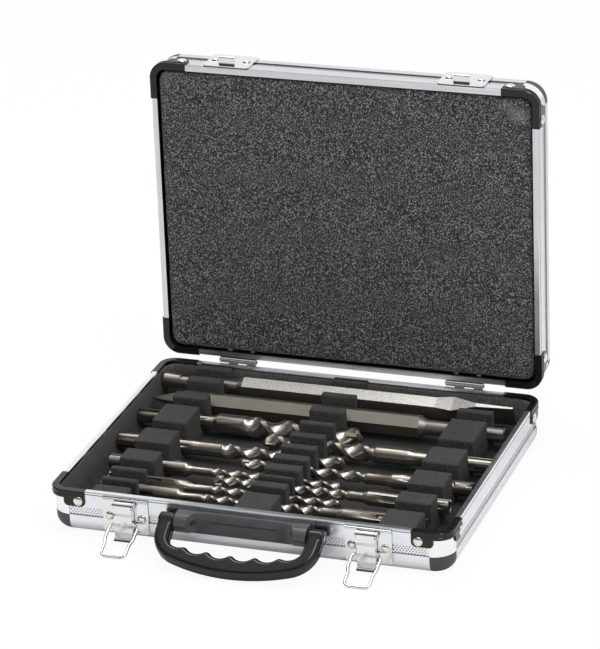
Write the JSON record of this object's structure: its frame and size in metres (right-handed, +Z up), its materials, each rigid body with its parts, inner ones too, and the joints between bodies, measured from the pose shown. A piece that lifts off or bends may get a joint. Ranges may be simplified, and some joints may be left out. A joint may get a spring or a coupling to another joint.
{
  "type": "drill bit case",
  "caption": "Shallow hinged metal-railed tool case with draw latches, finger-grip handle and foam combs holding grooved-shank drill bits and chisels.",
  "frame": {"origin": "centre of the base's underside, on the surface it stands on", "axes": "+X along the front toward the right, +Y toward the hinges, +Z up; the handle and latches face -Y"},
  "size_m": [0.2736, 0.2861, 0.2496],
  "materials": {
    "rail_metal": "satin, brushed along the rail",
    "panel_skin": "fine stippled satin sheet",
    "corner_plastic": "glossy black",
    "corner_plate_metal": "polished",
    "rivet_metal": "polished",
    "tray_foam": "dark grey foam",
    "comb_foam": "dark grey foam",
    "lid_pad_foam": "charcoal foam with fine specks",
    "hinge_metal": "plated",
    "latch_metal": "bright plated",
    "handle_plastic": "glossy black",
    "backplate_plastic": "satin dark grey",
    "pin_metal": "plated",
    "chisel_steel": "shot-blasted grey steel",
    "drill_steel": "blasted steel with brazed carbide tips"
  },
  "bodies": {
    "case_base": {"base_ball_corners": "corner_plastic", "base_corner_plates": "corner_plate_metal", "base_panel": "panel_skin", "base_rail_back": "rail_metal", "base_rail_front": "rail_metal", "base_rail_left": "rail_metal", "base_rail_right": "rail_metal", "base_rim_corner_back_left": "corner_plastic", "base_rim_corner_back_right": "corner_plastic", "base_rim_corner_front_left": "corner_plastic", "base_rim_corner_front_right": "corner_plastic", "base_rivets": "rivet_metal", "centre_comb": "comb_foam", "foam_tray": "tray_foam", "handle_backplate": "backplate_plastic", "handle_pins": "pin_metal", "left_comb": "comb_foam", "left_hinge_base_leaf": "hinge_metal", "left_hinge_pin": "hinge_metal", "left_latch_plate": "latch_metal", "left_lever_pin": "latch_metal", "right_comb": "comb_foam", "right_hinge_base_leaf": "hinge_metal", "right_hinge_pin": "hinge_metal", "right_latch_plate": "latch_metal", "right_lever_pin": "latch_metal"},
    "case_lid": {"left_hinge_lid_leaf": "hinge_metal", "left_keeper": "latch_metal", "lid_ball_corners": "corner_plastic", "lid_corner_plates": "corner_plate_metal", "lid_foam": "lid_pad_foam", "lid_panel": "panel_skin", "lid_rail_back": "rail_metal", "lid_rail_front": "rail_metal", "lid_rail_left": "rail_metal", "lid_rail_right": "rail_metal", "lid_rim_corner_back_left": "corner_plastic", "lid_rim_corner_back_right": "corner_plastic", "lid_rim_corner_front_left": "corner_plastic", "lid_rim_corner_front_right": "corner_plastic", "lid_rivets": "rivet_metal", "right_hinge_lid_leaf": "hinge_metal", "right_keeper": "latch_metal"},
    "handle": {"handle": "handle_plastic"},
    "left_lever": {"left_latch_lever": "latch_metal"},
    "left_bail": {"left_latch_bail": "latch_metal"},
    "right_lever": {"right_latch_lever": "latch_metal"},
    "right_bail": {"right_latch_bail": "latch_metal"},
    "flat_chisel": {"flat_chisel": "chisel_steel"},
    "point_chisel": {"point_chisel": "chisel_steel"},
    "long_drill_10": {"long_drill_10": "drill_steel"},
    "long_drill_12": {"long_drill_12": "drill_steel"},
    "long_drill_14": {"long_drill_14": "drill_steel"},
    "long_drill_6_front": {"long_drill_6_front": "drill_steel"},
    "long_drill_6_rear": {"long_drill_6_rear": "drill_steel"},
    "long_drill_7": {"long_drill_7": "drill_steel"},
    "long_drill_8": {"long_drill_8": "drill_steel"},
    "short_drill_6": {"short_drill_6": "drill_steel"},
    "short_drill_8": {"short_drill_8": "drill_steel"}
  },
  "joints": [
    {"name": "lid_hinge", "type": "hinge", "parent": "case_base", "child": "case_lid", "pos_m": [0, 0.1068, 0.0319], "axis": [1, 0, 0], "range_deg": [0, 91.4]},
    {"name": "handle_swing", "type": "hinge", "parent": "case_base", "child": "handle", "pos_m": [0, -0.112, 0.021], "axis": [-1, 0, 0], "range_deg": [-61.4, 119]},
    {"name": "left_lever_pivot", "type": "hinge", "parent": "case_base", "child": "left_lever", "pos_m": [-0.0815, -0.1086, 0.0255], "axis": [1, 0, 0], "range_deg": [-120, 0]},
    {"name": "left_bail_pivot", "type": "hinge", "parent": "left_lever", "child": "left_bail", "pos_m": [-0.0815, -0.10835, 0.012], "axis": [-1, 0, 0], "range_deg": [-65.3, 114.6]},
    {"name": "right_lever_pivot", "type": "hinge", "parent": "case_base", "child": "right_lever", "pos_m": [0.0815, -0.1086, 0.0255], "axis": [1, 0, 0], "range_deg": [-120, 0]},
    {"name": "right_bail_pivot", "type": "hinge", "parent": "right_lever", "child": "right_bail", "pos_m": [0.0815, -0.10835, 0.012], "axis": [-1, 0, 0], "range_deg": [-65.3, 114.6]},
    {"name": "flat_chisel_lift", "type": "slide", "parent": "case_base", "child": "flat_chisel", "axis": [0, 0, -1], "range_m": [-0.045, 0]},
    {"name": "point_chisel_lift", "type": "slide", "parent": "case_base", "child": "point_chisel", "axis": [0, 0, -1], "range_m": [-0.045, 0]},
    {"name": "long_drill_10_lift", "type": "slide", "parent": "case_base", "child": "long_drill_10", "axis": [0, 0, -1], "range_m": [-0.045, 0]},
    {"name": "long_drill_12_lift", "type": "slide", "parent": "case_base", "child": "long_drill_12", "axis": [0, 0, -1], "range_m": [-0.045, 0]},
    {"name": "long_drill_14_lift", "type": "slide", "parent": "case_base", "child": "long_drill_14", "axis": [0, 0, -1], "range_m": [-0.045, 0]},
    {"name": "long_drill_6_front_lift", "type": "slide", "parent": "case_base", "child": "long_drill_6_front", "axis": [0, 0, -1], "range_m": [-0.045, 0]},
    {"name": "long_drill_6_rear_lift", "type": "slide", "parent": "case_base", "child": "long_drill_6_rear", "axis": [0, 0, -1], "range_m": [-0.045, 0]},
    {"name": "long_drill_7_lift", "type": "slide", "parent": "case_base", "child": "long_drill_7", "axis": [0, 0, -1], "range_m": [-0.045, 0]},
    {"name": "long_drill_8_lift", "type": "slide", "parent": "case_base", "child": "long_drill_8", "axis": [0, 0, -1], "range_m": [-0.045, 0]},
    {"name": "short_drill_6_lift", "type": "slide", "parent": "case_base", "child": "short_drill_6", "axis": [0, 0, -1], "range_m": [-0.045, 0]},
    {"name": "short_drill_8_lift", "type": "slide", "parent": "case_base", "child": "short_drill_8", "axis": [0, 0, -1], "range_m": [-0.045, 0]}
  ]
}
